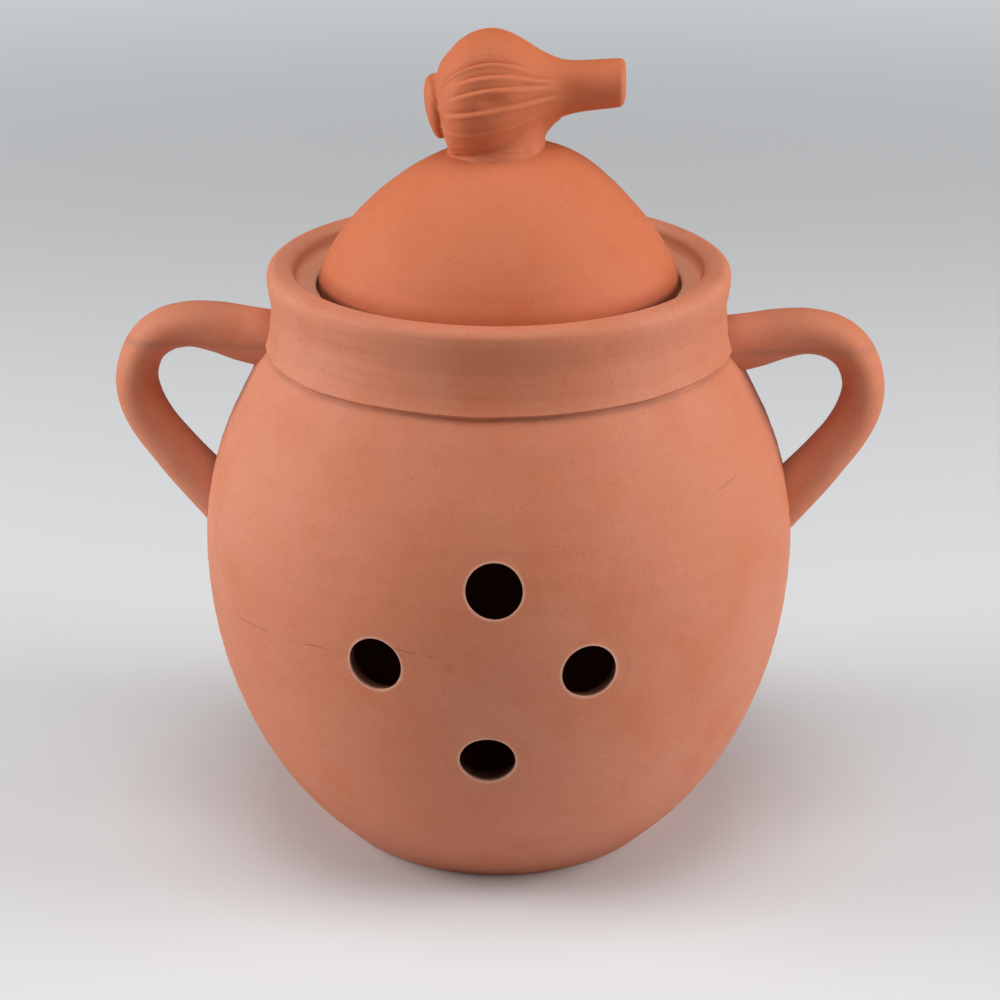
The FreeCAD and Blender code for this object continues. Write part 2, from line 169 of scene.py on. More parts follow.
# fired clay: three tones mottled at the size of a hand, of a fingertip and of a grain, with
# a fine grit in the bump; colours are as they render under plain light
class ClayMaterial:
    def __init__(self, name, look):
        self.material = bpy.data.materials.new(name)
        self.material.use_nodes = True
        self.nodes = self.material.node_tree.nodes
        self.links = self.material.node_tree.links
        self.shader = self.nodes["Principled BSDF"]
        self.shader.inputs["Roughness"].default_value = look["roughness"]
        self.shader.inputs["Specular IOR Level"].default_value = look["specular"]
        self.place = self.nodes.new("ShaderNodeTexCoord").outputs["Object"]
        cloud = self.between(self.noise(*look["cloud"]), *look["cloudSpan"])
        self.colour = self.mix(cloud, look["clay"], look["pale"])
        patch = self.between(self.noise(*look["patch"]), *look["patchSpan"])
        self.paint(self.scaled(patch, look["patchShow"]), look["warm"])
        grain = self.between(self.noise(*look["grain"]), *look["grainSpan"])
        self.paint(self.scaled(grain, look["grainShow"]), look["dark"])
        specks = self.between(self.noise(*look["specks"]), *look["speckSpan"])
        self.paint(self.scaled(specks, look["speckShow"]), look["speck"])
        self.height = self.sum(
            self.scaled(self.noise(*look["grit"]), look["gritHeight"]),
            self.scaled(self.noise(*look["dimples"]), look["dimpleHeight"]),
        )

    def noise(self, scale, detail, roughness):
        node = self.nodes.new("ShaderNodeTexNoise")
        node.inputs["Scale"].default_value = scale
        node.inputs["Detail"].default_value = detail
        node.inputs["Roughness"].default_value = roughness
        self.links.new(self.place, node.inputs["Vector"])
        return node.outputs["Fac"]

    def maths(self, operation, *values):
        node = self.nodes.new("ShaderNodeMath")
        node.operation = operation
        for socket, value in zip(node.inputs, values):
            if isinstance(value, (int, float)):
                socket.default_value = value
            else:
                self.links.new(value, socket)
        return node.outputs[0]

    def scaled(self, value, factor):
        return self.maths("MULTIPLY", value, factor)

    def sum(self, first, second):
        return self.maths("ADD", first, second)

    # nought below low and one above high, or the other way round
    def between(self, value, low, high):
        node = self.nodes.new("ShaderNodeMapRange")
        node.interpolation_type = "SMOOTHSTEP"
        node.inputs["From Min"].default_value = min(low, high)
        node.inputs["From Max"].default_value = max(low, high)
        node.inputs["To Min"].default_value = 0.0 if low < high else 1.0
        node.inputs["To Max"].default_value = 1.0 if low < high else 0.0
        self.links.new(value, node.inputs["Value"])
        return node.outputs["Result"]

    # nought at the start of a span in mm and one at its end
    def within(self, value, span):
        return self.between(value, span[0] * mm, span[1] * mm)

    def mix(self, share, first, second):
        node = self.nodes.new("ShaderNodeMix")
        node.data_type = "RGBA"
        self.links.new(share, node.inputs["Factor"])
        for socket, value in ((node.inputs[6], first), (node.inputs[7], second)):
            if isinstance(value, tuple):
                socket.default_value = (*value, 1.0)
            else:
                self.links.new(value, socket)
        return node.outputs[2]

    def paint(self, share, colour):
        self.colour = self.mix(share, self.colour, colour)

    # what is inside both shares
    def both(self, first, second):
        return self.maths("MULTIPLY", first, second)

    def axes(self):
        node = self.nodes.new("ShaderNodeSeparateXYZ")
        self.links.new(self.place, node.inputs[0])
        return node.outputs

    # how far the point lies from a line through centre, turned so that the line is local Z,
    # and how far along it
    def besideLine(self, centre, turn):
        mapping = self.nodes.new("ShaderNodeMapping")
        mapping.vector_type = "TEXTURE"
        mapping.inputs["Location"].default_value = centre
        mapping.inputs["Rotation"].default_value = turn
        self.links.new(self.place, mapping.inputs["Vector"])
        flat = self.nodes.new("ShaderNodeVectorMath")
        flat.operation = "MULTIPLY"
        flat.inputs[1].default_value = (1, 1, 0)
        self.links.new(mapping.outputs[0], flat.inputs[0])
        length = self.nodes.new("ShaderNodeVectorMath")
        length.operation = "LENGTH"
        self.links.new(flat.outputs[0], length.inputs[0])
        local = self.nodes.new("ShaderNodeSeparateXYZ")
        self.links.new(mapping.outputs[0], local.inputs[0])
        return length.outputs["Value"], local.outputs[2]

    def finish(self):
        bump = self.nodes.new("ShaderNodeBump")
        bump.inputs["Strength"].default_value = 1.0
        bump.inputs["Distance"].default_value = mm
        self.links.new(self.height, bump.inputs["Height"])
        self.links.new(bump.outputs["Normal"], self.shader.inputs["Normal"])
        self.links.new(self.colour, self.shader.inputs["Base Color"])
        return self.material


# a noise is its scale, detail and roughness, and its span is where it shows nothing and
# where it shows fully; heights are in mm
clayLook = {
    "clay": (0.57, 0.182, 0.09),
    "pale": (0.61, 0.22, 0.125),
    "warm": (0.56, 0.155, 0.062),
    "dark": (0.46, 0.13, 0.06),
    "speck": (0.3, 0.11, 0.06),
    "roughness": 0.66,
    "specular": 0.4,
    "cloud": (16.0, 3, 0.55),
    "cloudSpan": (0.35, 0.68),
    "patch": (75.0, 4, 0.6),
    "patchSpan": (0.45, 0.72),
    "patchShow": 0.55,
    "grain": (900.0, 2, 0.7),
    "grainSpan": (0.5, 0.75),
    "grainShow": 0.3,
    "specks": (1100.0, 0, 0.5),
    "speckSpan": (0.79, 0.83),
    "speckShow": 0.3,
    "grit": (2600.0, 3, 0.7),
    "gritHeight": 0.09,
    "dimples": (260.0, 2, 0.5),
    "dimpleHeight": 0.12,
}
lidTones = {"clay": (0.56, 0.138, 0.048), "pale": (0.59, 0.16, 0.065), "warm": (0.545, 0.12, 0.036)}
lidLook = {**clayLook, **lidTones}


# the pot, from its foot to its lip; radii and heights in mm
pot = {
    "bellyRadius": 63.74,
    "bellyHeight": 65.3,
    "lowerHalf": 78.9,
    "upperHalf": 66.0,
    "flare": 1.75,
    "flareFrom": 97.0,
    "flareTo": 112.0,
    "creaseHeight": 109.5,
    "collarRadius": 48.12,
    "collarBead": 1.6,
    "beadHeight": 3.4,
    "swellFrom": 118.5,
    "lipRadius": 49.0,
    "lipRound": 2.35,
    "rimHeight": 127.5,
    "innerLipRadius": 43.2,
    "innerLipRound": 1.75,
    "ledgeHeight": 123.5,
    "recessRadius": 38.6,
    "seatHeight": 120.3,
    "mouthRadius": 33.5,
    "wall": 4.0,
    "floor": 5.0,
    "footFlat": 34.0,
    "footRound": 1.5,
    "columns": 288,
}


# half an ellipse above the belly line and half another below it: the belly's radius times
# the root of one less the square of the share of the height; under the collar a flare is
# added as a smooth step
def wallRadius(height):
    half = np.where(height < pot["bellyHeight"], pot["lowerHalf"], pot["upperHalf"])
    ellipse = pot["bellyRadius"] * np.sqrt(1 - ((height - pot["bellyHeight"]) / half) ** 2)
    return ellipse + pot["flare"] * smoothStep(height, pot["flareFrom"], pot["flareTo"])


# the section, in order: foot, wall, crease, collar, lip, ledge and seat, mouth, inside and
# floor; the collar stands out at the crease by a bead that falls off as an exponential, and
# swells to the lip as a smooth step; the inside is the wall less its thickness, which is
# measured square to the wall
def potProfile():
    crease, lipHeight = pot["creaseHeight"], pot["rimHeight"] - pot["lipRound"]
    wall = np.linspace(1.0, crease - 0.3, 110)
    outside = np.stack([wallRadius(wall), wall], -1)
    creaseLine = [[wallRadius(crease) - 0.15, crease + 0.2], [wallRadius(crease) + 0.1, crease + 0.6]]
    band = np.linspace(crease + 1.0, lipHeight - 0.1, 28)
    bead = pot["collarBead"] * np.exp(-(band - crease - 1) / pot["beadHeight"])
    swell = (pot["lipRadius"] - pot["collarRadius"]) * smoothStep(band, pot["swellFrom"], lipHeight)
    collar = pot["collarRadius"] + bead + swell
    lip = arc(pot["lipRadius"] - pot["lipRound"], lipHeight, pot["lipRound"], 0, 90, 10)
    innerRound = pot["innerLipRound"]
    innerMiddle = pot["innerLipRadius"] + innerRound
    innerLip = arc(innerMiddle, pot["rimHeight"] - innerRound, innerRound, 90, 180, 9)
    ledge, recess = pot["ledgeHeight"], pot["recessRadius"]
    seat, mouth = pot["seatHeight"], pot["mouthRadius"]
    step = through(
        [[43.1, 124.9], [42.5, 124.0], [41.4, ledge + 0.05], [40.0, ledge],
         [recess + 0.5, ledge - 0.1], [recess + 0.05, ledge - 0.6], [recess, seat + 1.2],
         [recess - 0.2, seat + 0.25], [recess - 0.9, seat], [mouth + 1.0, seat],
         [mouth + 0.25, seat - 0.25], [mouth, seat - 1.0], [mouth, seat - 3.2],
         [mouth + 0.6, seat - 4.0], [38.5, 114.6], [43.0, 112.3], [45.3, 109.6], [46.4, 106.5]], 4)
    level = pot["floor"]
    inner = np.linspace(104, level + 7, 70)
    slope = np.gradient(wallRadius(inner), inner)
    inside = np.stack([wallRadius(inner) - pot["wall"] * np.sqrt(1 + slope**2), inner], -1)
    end = inside[-1, 0]
    floor = through(
        [inside[-1], [end - 3.4, level + 2.6], [end - 8.5, level + 0.3], [end - 14, level],
         [0, level]], 6)[1:]
    flat, footRound = pot["footFlat"], pot["footRound"]
    heel = arc(flat + footRound, footRound, footRound, -90, -38, 6)
    foot = np.vstack([[[0, 0], [18, 0], [flat, 0]], heel])
    collar = np.stack([collar, band], -1)
    return np.vstack([foot, outside, creaseLine, collar, lip, innerLip, step, inside, floor])


# what the hand leaves on the pot, in mm; spans are the heights over which it sets in, and
# beyond are the radii beyond which it does
hand = {
    "span": (4, 40),
    "beyond": 30,
    "outOfRound": 0.16,
    "twist": 0.05,
    "rings": 0.035,
    "fineRings": 0.03,
    "creaseBeyond": 47,
    "creaseReach": 3.0,
    "creaseInAndOut": 0.16,
    "creaseUpAndDown": 0.22,
    "lipSpan": (119, 127),
    "lipBeyond": 40,
    "lipUpAndDown": 0.1,
}


# the profile turned round the axis, and on it wobbles round the pot, rings as sines of the
# height, and the crease and the lip that wander by fractions of a millimetre
def potGrid():
    profile = potProfile()
    radius, height, angle = spin(profile, pot["columns"])
    high = smoothStep(height, *hand["span"])
    twist = hand["twist"] * wobble(angle + height * 0.02, 4, [4, 7, 9])
    outOfRound = high * (hand["outOfRound"] * wobble(angle, 3, [2, 3, 5]) + twist)
    fineRings = hand["fineRings"] * np.sin(height * 2.7 + 0.6 * np.sin(angle)) * high
    turned = hand["rings"] * np.sin(height * 1.1) * high + fineRings
    fromCrease = (height - pot["creaseHeight"]) / hand["creaseReach"]
    nearCrease = np.exp(-(fromCrease**2)) * (radius > hand["creaseBeyond"])
    radius = np.where(radius > hand["beyond"], radius + outOfRound + turned, radius)
    radius = radius + nearCrease * hand["creaseInAndOut"] * wobble(angle, 8, [3, 7, 12, 19, 31], 0.6)
    height = height + nearCrease * hand["creaseUpAndDown"] * wobble(angle, 9, [2, 5, 9, 17, 26], 0.6)
    nearLip = smoothStep(height, *hand["lipSpan"]) * (radius > hand["lipBeyond"])
    height = height + nearLip * hand["lipUpAndDown"] * wobble(angle, 11, [2, 3, 6])
    return np.stack([radius * np.sin(angle), -radius * np.cos(angle), height], -1) * mm


# the vents: compass angle from the front and height of each on the wall, in degrees and mm
vents = {
    "places": [(1.4, 78.8), (-20.6, 61.3), (18.7, 60.8), (0.1, 40.6)],
    "radius": 5.65,
    "edge": 0.3,
    "spread": 0.26,
    "deep": 9.0,
    "edgeTurn": 62.0,
    "uneven": 0.012,
    "columns": 72,
}


# a vent's middle on the wall, and the way square to the wall there, from the wall's slope
def ventPlace(compass, height):
    turn = math.radians(compass)
    ahead = height + np.array([-0.5, 0.5])
    slope = np.diff(wallRadius(ahead))[0]
    outwards = np.array([math.sin(turn), -math.cos(turn), -slope])
    outwards = outwards / np.linalg.norm(outwards)
    radius = float(wallRadius(np.array(height)))
    return np.array([radius * math.sin(turn), -radius * math.cos(turn), height]), outwards


# a cutter's profile is a bore that widens a little inwards, and opens out like a trumpet
# where it leaves the wall, so that the cut leaves a worn round edge
def ventCutter(index, compass, height):
    centre, outwards = ventPlace(compass, height)
    edge, radius = vents["edge"], vents["radius"]
    turn = np.radians(np.linspace(0, vents["edgeTurn"], 7))
    flare = np.stack([radius + edge * (1 - np.cos(turn)), -edge + edge * np.sin(turn)], -1)
    beyond = flare[-1] + (flare[-1] - flare[-2]) * 9
    inner = [radius + vents["spread"] * vents["deep"], -vents["deep"]]
    profile = np.vstack([[[0, -vents["deep"]], inner], flare, [beyond, [0, beyond[1]]]])
    reach, along, angle = spin(profile, vents["columns"])
    reach = reach * (1 + vents["uneven"] * wobble(angle, 20 + index, [2, 3, 5]))
    side = np.cross([0, 0, 1], outwards)
    side = side / np.linalg.norm(side)
    up = np.cross(outwards, side)
    grid = centre + (reach * np.cos(angle))[..., None] * side + (reach * np.sin(angle))[..., None] * up
    return skinFromGrid(f"ventCutter{index}", (grid + along[..., None] * outwards) * mm, None)


def makePot(material):
    piece = skinFromGrid("potBody", potGrid(), material)
    cutters = [ventCutter(index, *place) for index, place in enumerate(vents["places"])]
    for cutter in cutters:
        cut = piece.modifiers.new(cutter.name, "BOOLEAN")
        cut.operation = "DIFFERENCE"
        cut.solver = "EXACT"
        cut.object = cutter
    settle(piece, material)
    for cutter in cutters:
        bpy.data.meshes.remove(cutter.data)
    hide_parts("pot_body", "pot_collar")
    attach(piece, "pot")
    print("pot", len(piece.data.polygons), "faces")


# an ear handle: an oval carried along a bent line in the plane of the two handles; it is
# thickest at the collar, thinnest round the bend, and pressed out where it meets the pot
ear = {
    "line": [(45.8, 108.9), (54.0, 110.5), (60.0, 112.0), (66.0, 112.6), (71.6, 111.2), (75.8, 107.5),
             (77.9, 101.6), (77.4, 96.0), (74.9, 90.4), (71.0, 85.0), (66.8, 79.8), (59.6, 71.6)],
    "thick": [6.3, 5.8, 5.3, 4.8, 4.6, 4.5, 4.55, 4.7, 4.85, 5.0, 5.15, 5.5],
    "wide": [6.6, 6.2, 6.0, 6.0, 6.0, 6.0, 5.9, 5.9, 5.9, 6.0, 6.1, 6.5],
    "lumps": 0.018,
    "fineLumps": 0.012,
    "columns": 72,
}


# each row is an oval round a point of the middle line: thick times the cosine across the
# line and wide times the sine along the pot's front, both times slow lumps
def earGrid(side, seed):
    keys = np.column_stack([ear["line"], ear["thick"], ear["wide"]])
    line = through(keys, 9)
    centre = np.stack([line[:, 0], 0 * line[:, 0], line[:, 1]], -1)
    along = np.gradient(centre, axis=0)
    along = along / np.linalg.norm(along, axis=1, keepdims=True)
    across = np.cross([0, 1, 0], along)
    angle = np.linspace(0, 2 * math.pi, ear["columns"], endpoint=False)
    place = np.linspace(0, 1, len(line))[:, None]
    slow = ear["lumps"] * np.sin(9 * place + seed) * np.cos(2 * angle + seed)
    lumps = 1 + slow + ear["fineLumps"] * np.sin(21 * place + 2 * angle)
    thick = line[:, 2:3] * lumps * np.cos(angle)
    wide = line[:, 3:4] * lumps * np.sin(angle)
    oval = thick[..., None] * across[:, None] + wide[..., None] * np.array([0, 1, 0])
    return (centre[:, None] + oval) * [side * mm, mm, mm]


def makeEar(name, node, side, seed, material):
    piece = skinFromGrid(name, earGrid(side, seed), material, closeEnds=True)
    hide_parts(node)
    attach(piece, "pot")
    print(name, len(piece.data.polygons), "faces")


# the lid: a dome, an upright skirt, a flat seat, the ring that goes down into the mouth, and
# a hollow that follows the dome; the dome is a little fuller to the right of the knob
lid = {
    "radius": 38.1,
    "domeHeight": 29.7,
    "domeFoot": 123.8,
    "roundness": 1.207,
    "pointedness": 1.432,
    "skirtRadius": 37.9,
    "seatHeight": 120.3,
    "ringRadius": 32.7,
    "ringInside": 29.5,
    "ringDepth": 5.0,
    "wall": 4.0,
    "fuller": 2.4,
    "fullerAt": 17.0,
    "fullerWidth": 11.0,
    "fullFrom": 134.0,
    "uneven": 0.1,
    "fineUneven": 0.03,
    "rings": 0.03,
    "unevenSpan": (4, 20),
    "domeRows": 110,
    "columns": 288,
}


# as the angle goes from the top to the foot, the radius is a power of its sine and the
# rise a power of its cosine
def dome(radius, foot, height, count, last=0.5 * math.pi):
    share = np.linspace(0, last, count)
    reach = radius * np.sin(share) ** lid["roundness"]
    return np.stack([reach, foot + height * np.cos(share) ** lid["pointedness"]], -1)


# down the dome, round the skirt, the seat and the ring, and up the hollow
def lidProfile():
    seat, ring, inside = lid["seatHeight"], lid["ringRadius"], lid["ringInside"]
    low = seat - lid["ringDepth"]
    foot, rise, skirt, wall = lid["domeFoot"], lid["domeHeight"], lid["skirtRadius"], lid["wall"]
    outside = dome(lid["radius"], foot, rise, lid["domeRows"], 0.487 * math.pi)
    edge = through(
        [outside[-1], [skirt, 123.6], [skirt, seat + 1.0], [skirt - 0.25, seat + 0.25],
         [skirt - 0.9, seat], [ring + 0.3, seat], [ring, seat - 0.4], [ring, low + 0.9],
         [ring - 0.4, low + 0.15], [ring - 1.1, low], [inside + 1.0, low], [inside + 0.25, low + 0.25],
         [inside, low + 1.1], [inside, seat + 1.5]], 5)[1:]
    hollow = dome(lid["radius"] - 2 * wall, foot + 1, rise - wall - 1, 50)
    return np.vstack([outside, edge, hollow[::-1]])


# the profile turned round the axis, a little out of round; a round hill, highest at
# fullerAt to the right, is added to the height of the dome's own rows
def lidGrid():
    profile = lidProfile()
    radius, height, angle = spin(profile, lid["columns"])
    fine = lid["fineUneven"] * wobble(angle + height * 0.05, 32, [5, 8, 11])
    uneven = lid["uneven"] * wobble(angle, 31, [2, 3, 5]) + fine
    turned = lid["rings"] * np.sin(height * 1.3 + 0.4 * np.sin(angle))
    radius = radius + (uneven + turned) * smoothStep(radius, *lid["unevenSpan"])
    x, y = radius * np.sin(angle), -radius * np.cos(angle)
    hill = np.exp(-((x - lid["fullerAt"]) ** 2 + y**2) / lid["fullerWidth"] ** 2)
    onDome = (np.arange(len(profile)) < lid["domeRows"])[:, None]
    risen = smoothStep(height, lid["domeFoot"], lid["fullFrom"])
    height = height + lid["fuller"] * hill * risen * onDome
    return np.stack([x, y, height], -1) * mm


def makeLid(material):
    piece = skinFromGrid("lidDome", lidGrid(), material)
    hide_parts("lid")
    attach(piece, "lid")
    print("lid", len(piece.data.polygons), "faces")


# the knob: a garlic bulb on its side, x along it from root to neck; root, bulb and neck are
# x and radius, and stalk is height and radius
knob = {
    "root": [(-14.9, 0.0), (-14.8, 2.4), (-14.5, 4.2), (-14.05, 5.5), (-13.4, 6.3), (-12.7, 6.55),
             (-12.1, 6.4), (-11.8, 6.3)],
    "bulb": [(-11.7, 7.0), (-11.2, 8.4), (-10.3, 9.9), (-8.4, 11.8), (-6.0, 12.95), (-3.0, 13.35),
             (0.0, 12.9), (3.0, 11.7), (6.0, 9.8), (9.0, 7.7), (12.0, 6.2), (15.0, 5.45), (20.0, 5.1),
             (25.0, 4.95)],
    "neckEnd": [(25.5, 4.7), (25.9, 4.1), (26.1, 3.2), (26.15, 0.0)],
    "height": 163.1,
    "rise": 0.1,
    "rootDrop": 0.009,
    "rootLean": 0.2,
    "leanSpan": (-14, -9),
    "uneven": 0.02,
    "bulbColumns": 160,
    "stalk": [(150.2, 11.0), (151.6, 10.3), (153.2, 9.6), (155.0, 9.4), (157.0, 9.7), (158.6, 10.0),
              (161.0, 8.0)],
    "stalkUneven": 0.015,
    "stalkColumns": 120,
    "web": 0.34,
    "webSpan": (153.2, 160),
    "webSharpness": 24,
    "voxel": 0.24,
}


# the middle line rises evenly to the neck, and on the root's side falls with the square of
# the distance
def knobMiddle(along):
    return knob["height"] + knob["rise"] * along - knob["rootDrop"] * np.minimum(along, 0) ** 2


# upright rings round the middle line; near the root they lean back by a share of the
# height above the line
def bulbGrid():
    profile = np.vstack([through(knob["root"], 5), through(knob["bulb"], 9), knob["neckEnd"]])
    angle = np.linspace(0, 2 * math.pi, knob["bulbColumns"], endpoint=False)
    along = profile[:, 0][:, None] + 0 * angle
    reach = profile[:, 1][:, None] * (1 + knob["uneven"] * wobble(angle, 41, [2, 3, 5]))
    up = reach * np.cos(angle)
    lean = knob["rootLean"] * (1 - smoothStep(along, *knob["leanSpan"]))
    return np.stack([along - lean * up, -reach * np.sin(angle), knobMiddle(along) + up], -1) * mm


# level rings round the axis, drawn out under the neck by a high power of the sine, more
# and more with the height
def stalkGrid():
    profile = through(knob["stalk"], 6)
    angle = np.linspace(0, 2 * math.pi, knob["stalkColumns"], endpoint=False)
    reach = profile[:, 1][:, None] * (1 + knob["stalkUneven"] * wobble(angle, 43, [2, 3, 5]))
    height = profile[:, 0][:, None] + 0 * angle
    underNeck = np.maximum(np.sin(angle), 0) ** knob["webSharpness"]
    reach = reach * (1 + knob["web"] * smoothStep(height, *knob["webSpan"]) * underNeck)
    return np.stack([reach * np.sin(angle), -reach * np.cos(angle), height], -1) * mm


# grooves run from root to neck like the edges of overlapping skins; each that is seen has
# its place round the bulb (0 on top, 90 in front), its first and last x and its strength,
# and each hidden one only its place; the rest is in mm, degrees and waves along x
skins = {
    "seen": [(35, -5, 5, 0.45), (49, -13, 5, 1.3), (61, -7, 11, 0.85), (72, -8, 10, 0.8),
             (90, -9, 11, 0.95)],
    "hidden": [112, 126, 228, 241, 252, 263, 275, 289, 304, 318, 333, 347],
    "depth": 0.55,
    "width": 0.28,
    "rise": 0.8,
    "ridge": 0.4,
    "ridgePlace": 0.85,
    "ridgeWidth": 0.5,
    "bow": 1.0,
    "bowWave": 0.13,
    "fineBow": 0.25,
    "fineBowWave": 0.5,
    "setsIn": (-2.5, 1.5),
    "fadesOut": (-4, 3),
    "dent": 0.7,
    "dentPlace": (-1.0, 85),
    "dentSize": (3.0, 6),
    "rootSpan": (-12.6, -11.2),
    "axisSpan": (4.0, 5.0),
}


# the hidden grooves get seeded places, lengths and strengths
def allGrooves():
    chance = np.random.default_rng(52)
    hidden = np.array(skins["hidden"])
    places = hidden + chance.uniform(-3, 3, len(hidden))
    first = chance.uniform(-12, -5, len(hidden))
    last = chance.uniform(6, 15, len(hidden))
    strength = chance.uniform(0.35, 0.95, len(hidden)) * np.where(hidden < 200, 0.35, 1)
    return np.vstack([skins["seen"], np.stack([places, first, last, strength], -1)])


# each groove is a step: above it the skin sinks as an exponential, below it comes back as
# a bell, and a small ridge, another bell, is taken away from the depth; the groove bows as
# two sines of x, and a dent is added as a bell in x and in the turn
def carve(points, normals):
    x = points[:, 0]
    up = points[:, 2] - knobMiddle(x)
    out = -points[:, 1]
    turn = np.degrees(np.arctan2(out, up))
    reach = np.hypot(out, up)
    depth = np.zeros(len(x))
    for place, first, last, strength in allGrooves():
        bow = skins["bow"] * np.sin(skins["bowWave"] * x + place)
        bow = bow + skins["fineBow"] * np.sin(skins["fineBowWave"] * x + 2 * place)
        off = np.radians((turn - place - bow + 180) % 360 - 180) * reach
        off = np.where(place > 180, -off, off)
        begun = smoothStep(x, *[first + step for step in skins["setsIn"]])
        fade = begun * (1 - smoothStep(x, *[last + step for step in skins["fadesOut"]]))
        above = np.exp(np.minimum(off, 0) / skins["rise"])
        below = np.exp(-((np.maximum(off, 0) / skins["width"]) ** 2))
        ridge = skins["ridge"] * np.exp(-(((off - skins["ridgePlace"]) / skins["ridgeWidth"]) ** 2))
        depth += fade * strength * skins["depth"] * (above * below - ridge)
    (dentX, dentTurn), (dentLong, dentWide) = skins["dentPlace"], skins["dentSize"]
    fromDent = ((x - dentX) / dentLong) ** 2 + ((turn - dentTurn) / dentWide) ** 2
    dent = np.exp(-fromDent) * skins["dent"]
    bodyOnly = smoothStep(x, *skins["rootSpan"]) * smoothStep(reach, *skins["axisSpan"])
    return points - normals * ((depth + dent) * bodyOnly)[:, None]


# how high the worked clay stands, and where, in mm
worked = {
    "marks": 0.1,
    "fineMarks": 0.05,
    "footHeight": 152.6,
    "footWidth": 1.6,
    "footBeyond": 8,
    "crumbs": 0.1,
    "rootHeight": 161.0,
    "seamPlace": -12.4,
    "seamWidth": 0.9,
    "presses": 0.06,
}


# wobbles round the stalk's foot, where the knob was worked onto the lid, and round the seam
# of the root plate, each under a bell, and slow presses of the hand all over, as sines
def rough(points, normals):
    x, y, z = points.T
    foot = np.exp(-(((z - worked["footHeight"]) / worked["footWidth"]) ** 2))
    foot = foot * (np.hypot(x, y) > worked["footBeyond"])
    around = np.arctan2(y, x)
    fineMarks = worked["fineMarks"] * np.sin(z * 5 + 3 * np.sin(4 * around))
    marks = worked["marks"] * wobble(around, 61, [5, 9, 14, 22], 0.5) + fineMarks
    up = z - worked["rootHeight"]
    fromSeam = x - worked["seamPlace"] + knob["rootLean"] * up
    seam = np.exp(-((fromSeam / worked["seamWidth"]) ** 2))
    crumbs = worked["crumbs"] * wobble(np.arctan2(y, up) + 0.3 * x, 63, [3, 5, 8, 13, 21], 0.4)
    presses = worked["presses"] * np.sin(0.55 * x + 0.4 * z) * np.sin(0.6 * y - 0.5 * z)
    return points + normals * (foot * marks + seam * crumbs + presses)[:, None]


def makeKnob(material):
    bulb = skinFromGrid("garlicKnob", bulbGrid(), material)
    stalk = skinFromGrid("knobStalk", stalkGrid(), material, closeEnds=True)
    union = bulb.modifiers.new("joined", "BOOLEAN")
    union.operation = "UNION"
    union.solver = "EXACT"
    union.object = stalk
    knead = bulb.modifiers.new("kneaded", "REMESH")
    knead.mode = "VOXEL"
    knead.voxel_size = knob["voxel"] * mm
    soften = bulb.modifiers.new("softened", "SMOOTH")
    soften.factor = 0.5
    soften.iterations = 10
    mesh = settle(bulb, material)
    bpy.data.meshes.remove(stalk.data)
    for shape in (carve, rough):
        points = shape(verticesOf(mesh) / mm, normalsOf(mesh))
        mesh.vertices.foreach_set("co", (points * mm).astype(np.float32).ravel())
        mesh.update()
    smoothAll(mesh, 180)
    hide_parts("garlic_knob")
    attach(bulb, "lid")
    print("knob", len(mesh.polygons), "faces")


# what lies on the clay, and the painted shade and light on it, in mm: a span runs from where a mark
# shows nothing to where it shows fully; a scratch is its slope, its height where x is nought, and its
# first and last x
marks = {
    "front": (-50, -54),
    "nearFront": (-45, -48),
    "wornRim": (0.74, 0.47, 0.37),
    "rimSpan": (6.3, 5.95),
    "rimShow": 0.45,
    # painted shade inside the vents' bores
    "paintedBoreShade": (0.1, 0.04, 0.025),
    "boreDepth": (-0.35, -1.3),
    "boreSpan": (9, 8.5),
    "boreShow": 0.85,
    # painted shade in the crease under the collar
    "creaseShade": (0.4, 0.15, 0.09),
    "creaseShadeBelow": (108.4, 109.6),
    "creaseShadeAbove": (111, 110),
    "creaseShadeNoise": (90, 3, 0.6),
    "creaseShadePatches": (0.3, 0.65),
    "creaseShadeShow": 0.6,
    "scratches": [(0.086, 63.3, -56, -31), (-0.11, 62.1, -25, -8), (0.1, 84.5, 44, 51)],
    "scratch": (0.3, 0.09, 0.05),
    "scratchFront": (-20, -25),
    "scratchSpan": (0.26, 0.08),
    "scratchEnd": 3,
    "scratchShake": 3,
    "shakeNoise": (110, 2, 0.5),
    "wornNoise": (160, 2, 0.5),
    "wornPatches": (0.38, 0.55),
    "scratchShow": 0.6,
    # painted light: the ledge is painted paler, standing in for the light it catches
    "paintedLitLedge": (0.74, 0.35, 0.21),
    "ledgeHeight": (119, 121),
    "ledgeInside": (37.6, 38.8),
    "ledgeOutside": (45, 43.5),
    "ledgeShow": 0.65,
    "smudge": (0.42, 0.12, 0.06),
    "smudgePlace": (-7.2, 0, 62.4),
    "smudgeSpan": (1.5, 0.3),
    "smudgeShow": 0.35,
    "edgeRadius": (35.5, 36.5),
    "edgeHeight": (122.5, 123.2),
    # painted shade over the foot of the lid's dome
    "lidFootShade": (0.36, 0.07, 0.022),
    "lidFootShadeSpan": (129, 124.5),
    "lidFootShadeShow": 0.4,
    # painted shade for the gap between the lid and the ledge
    "lidGapShade": (0.12, 0.04, 0.02),
    "lidGapShadeSpan": (125.2, 124.3),
    "lidGapShadeShow": 0.7,
}


# a vent's pale worn rim on the outside, and painted shade in its bore from just inside the edge
def paintVent(clay, front, nearFront, compass, level):
    centre, outwards = ventPlace(compass, level)
    pitch = math.atan2(math.hypot(outwards[0], outwards[1]), outwards[2])
    turn = (0, pitch, math.atan2(outwards[1], outwards[0]))
    away, along = clay.besideLine(tuple(centre * mm), turn)
    rim = clay.both(clay.within(away, marks["rimSpan"]), front)
    clay.paint(clay.scaled(rim, marks["rimShow"]), marks["wornRim"])
    # painted shade: the bore's wall is painted dark where it lies in shade inside the vent
    bore = clay.both(clay.within(along, marks["boreDepth"]), clay.within(away, marks["boreSpan"]))
    clay.paint(clay.scaled(clay.both(bore, nearFront), marks["boreShow"]), marks["paintedBoreShade"])


